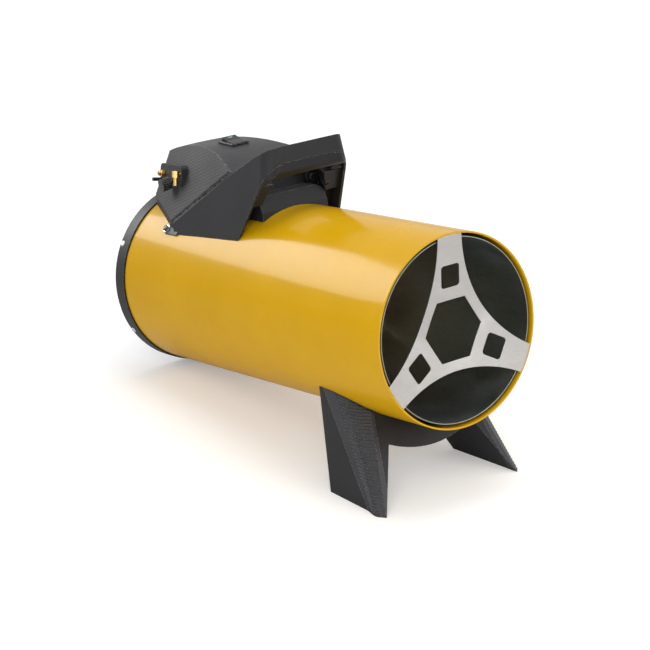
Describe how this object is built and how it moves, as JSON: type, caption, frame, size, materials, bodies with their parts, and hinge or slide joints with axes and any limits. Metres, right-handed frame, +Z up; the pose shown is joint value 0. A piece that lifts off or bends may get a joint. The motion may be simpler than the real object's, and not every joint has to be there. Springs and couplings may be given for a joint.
{
  "type": "gas forced air heater",
  "caption": "Portable gas forced air heater: yellow tube casing with a three-arm outlet guard, dark hood with carrying handle, rocker switch and gas valve, on two ribbed legs.",
  "frame": {"origin": "centre of the bounding box's underside, on the floor plane", "axes": "+X across the casing, +Y towards the rear intake along the casing's length, +Z up; the outlet faces -Y and is raised by 9.6 degrees"},
  "size_m": [0.2282, 0.5728, 0.3527],
  "materials": {
    "paint_yellow": "glossy",
    "tube_steel": "dark satin",
    "guard_steel": "satin",
    "plastic_dark": "fine texture",
    "plastic_panel": "dotted texture",
    "plastic_black": "satin",
    "zinc_steel": "zinc plated",
    "fan_aluminium": "satin",
    "grille_paint": "satin",
    "motor_paint": "satin",
    "brass": "satin",
    "board_green": "gloss",
    "terminal_white": "satin"
  },
  "bodies": {
    "heater": {"outer_casing": "paint_yellow", "combustion_tube": "tube_steel", "tube_spacers": "zinc_steel", "outlet_guard": "guard_steel", "rear_ring": "plastic_dark", "ring_screws": "zinc_steel", "intake_grille": "grille_paint", "base_stand": "plastic_dark", "leg_ribs_left": "plastic_dark", "leg_ribs_right": "plastic_dark", "base_screws": "zinc_steel", "hood_shell": "plastic_dark", "hood_panel_left": "plastic_panel", "hood_panel_right": "plastic_panel", "handle_yoke": "plastic_dark", "grip_insert": "plastic_black", "front_cover": "plastic_dark", "cover_screw": "zinc_steel", "yoke_screws": "zinc_steel", "yoke_washers": "zinc_steel", "igniter_body": "plastic_black", "rocker_bezel": "plastic_black", "switch_body": "plastic_black", "fitting_block": "plastic_dark", "valve_body": "brass", "valve_nuts": "brass", "inlet_nipple": "brass", "gas_pipe": "brass", "burner_nozzle": "brass", "burner_cup": "tube_steel", "burner_bracket": "tube_steel", "spark_electrode": "zinc_steel", "flame_sensor": "brass", "motor_body": "motor_paint", "motor_bracket": "zinc_steel", "motor_screws": "zinc_steel", "control_board": "board_green", "board_posts": "zinc_steel", "terminal_block": "terminal_white", "safety_thermostat": "zinc_steel", "cable_gland": "plastic_black", "gland_nut": "plastic_black"},
    "fan": {"motor_shaft": "zinc_steel", "fan_blades_set": "fan_aluminium", "fan_nut": "zinc_steel"},
    "rocker": {"rocker_button": "plastic_black"},
    "knob": {"regulator_knob": "plastic_black"},
    "safety_button": {"valve_button": "plastic_black"},
    "igniter": {"igniter_button": "plastic_black"}
  },
  "joints": [
    {"name": "fan_spin", "type": "hinge", "parent": "heater", "child": "fan", "pos_m": [0, 0.22198, 0.11993], "axis": [0, 0.986, -0.1668], "continuous": true},
    {"name": "rocker_tilt", "type": "hinge", "parent": "heater", "child": "rocker", "pos_m": [0, 0.16398, 0.30784], "axis": [1, 0, 0], "range_deg": [-22, 0]},
    {"name": "knob_turn", "type": "hinge", "parent": "heater", "child": "knob", "pos_m": [-0.06337, 0.22376, 0.25399], "axis": [-0.9708, 0.135, -0.1981], "range_deg": [0, 270]},
    {"name": "safety_press", "type": "slide", "parent": "heater", "child": "safety_button", "axis": [0.9664, -0.2159, -0.1396], "range_m": [0, 0.003], "stiffness_N_per_m": 900},
    {"name": "igniter_press", "type": "slide", "parent": "heater", "child": "igniter", "axis": [0, 0.986, -0.1668], "range_m": [0, 0.005], "stiffness_N_per_m": 800}
  ]
}
